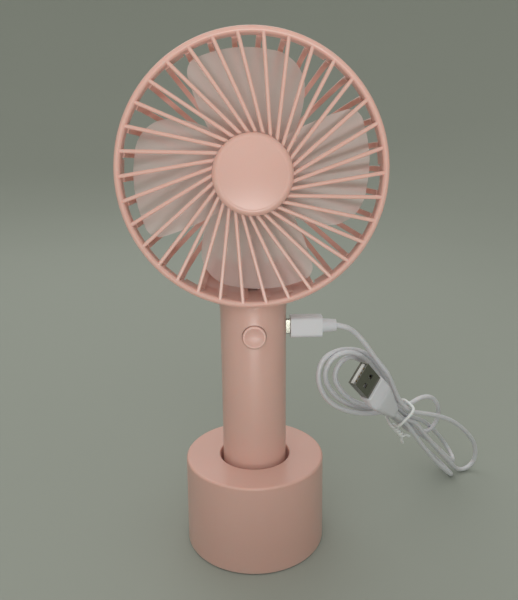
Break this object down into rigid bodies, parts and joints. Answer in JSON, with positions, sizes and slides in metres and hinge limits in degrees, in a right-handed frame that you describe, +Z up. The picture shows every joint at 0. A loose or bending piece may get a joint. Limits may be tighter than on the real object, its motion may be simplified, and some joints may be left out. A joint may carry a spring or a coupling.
{
  "type": "handheld fan",
  "caption": "Handheld electric fan with a swirled round grille, broad blades, a straight battery handle, a drop-in round stand and a plugged-in USB charging cord.",
  "frame": {"origin": "centre of the underside of the round stand", "axes": "+Z up along the handle, -Y is the front that the air comes out of, +X is the side with the charging socket"},
  "size_m": [0.1904, 0.0915, 0.2304],
  "materials": {
    "shell_plastic": "satin, pale salmon",
    "blade_plastic": "frosted, half see-through",
    "plate_plastic": "matt, pale salmon",
    "foot_rubber": "matt",
    "screw_steel": "satin",
    "can_steel": "satin",
    "plug_steel": "bright nickel",
    "brass": "satin",
    "magnet": "matt",
    "copper_wire": "enamelled",
    "dark_plastic": "matt",
    "board_green": "satin",
    "sleeve_plastic": "shrink film",
    "foam": "soft",
    "wire_red": "satin",
    "wire_black": "satin",
    "cord_white": "satin white",
    "tongue_white": "satin"
  },
  "bodies": {
    "stand": {"base_shell": "shell_plastic", "base_socket": "shell_plastic", "base_floor_plate": "plate_plastic", "base_foot_pad": "foot_rubber", "base_screws": "screw_steel"},
    "fan_unit": {"cage_front": "shell_plastic", "hub_cap": "shell_plastic", "cage_rear": "shell_plastic", "wire_cover": "shell_plastic", "rear_hub_cover": "shell_plastic", "motor_can": "can_steel", "motor_end_cap": "dark_plastic", "motor_bushes": "brass", "motor_magnets": "magnet", "motor_brushes": "brass", "motor_mount_screws": "screw_steel", "motor_wire_red": "wire_red", "motor_wire_black": "wire_black", "handle_front_shell": "shell_plastic", "handle_rear_shell": "shell_plastic", "handle_screws": "screw_steel", "circuit_board": "board_green", "board_components": "dark_plastic", "tact_switch": "dark_plastic", "usb_socket_shell": "plug_steel", "usb_socket_tongue": "dark_plastic", "battery_cell": "can_steel", "battery_sleeve": "sleeve_plastic", "battery_tabs": "can_steel", "battery_foam_pads": "foam", "battery_wire_red": "wire_red", "battery_wire_black": "wire_black"},
    "impeller": {"fan_blades": "blade_plastic", "motor_shaft": "screw_steel", "motor_armature": "can_steel", "armature_windings": "copper_wire", "commutator": "brass"},
    "power_button": {"power_button": "shell_plastic", "switch_plunger": "dark_plastic"},
    "usb_cable": {"usb_plug_metal": "plug_steel", "usb_plug_overmould": "cord_white", "cord_lead": "cord_white", "cord_hank": "cord_white", "cord_tail": "cord_white", "twist_tie": "cord_white", "usb_a_shell": "plug_steel", "usb_a_tongue": "tongue_white", "usb_a_contacts": "brass", "usb_a_overmould": "cord_white"}
  },
  "joints": [
    {"name": "fan_lift_off", "type": "slide", "parent": "stand", "child": "fan_unit", "axis": [0, 0, 1], "range_m": [0, 0.05]},
    {"name": "impeller_spin", "type": "hinge", "parent": "fan_unit", "child": "impeller", "pos_m": [0, 0, 0.175], "axis": [0, 1, 0], "continuous": true},
    {"name": "power_press", "type": "slide", "parent": "fan_unit", "child": "power_button", "axis": [0, 1, 0], "range_m": [0, 0.0005], "stiffness_N_per_m": 1500},
    {"name": "usb_unplug", "type": "slide", "parent": "fan_unit", "child": "usb_cable", "axis": [1, 0, 0], "range_m": [0, 0.009]}
  ]
}
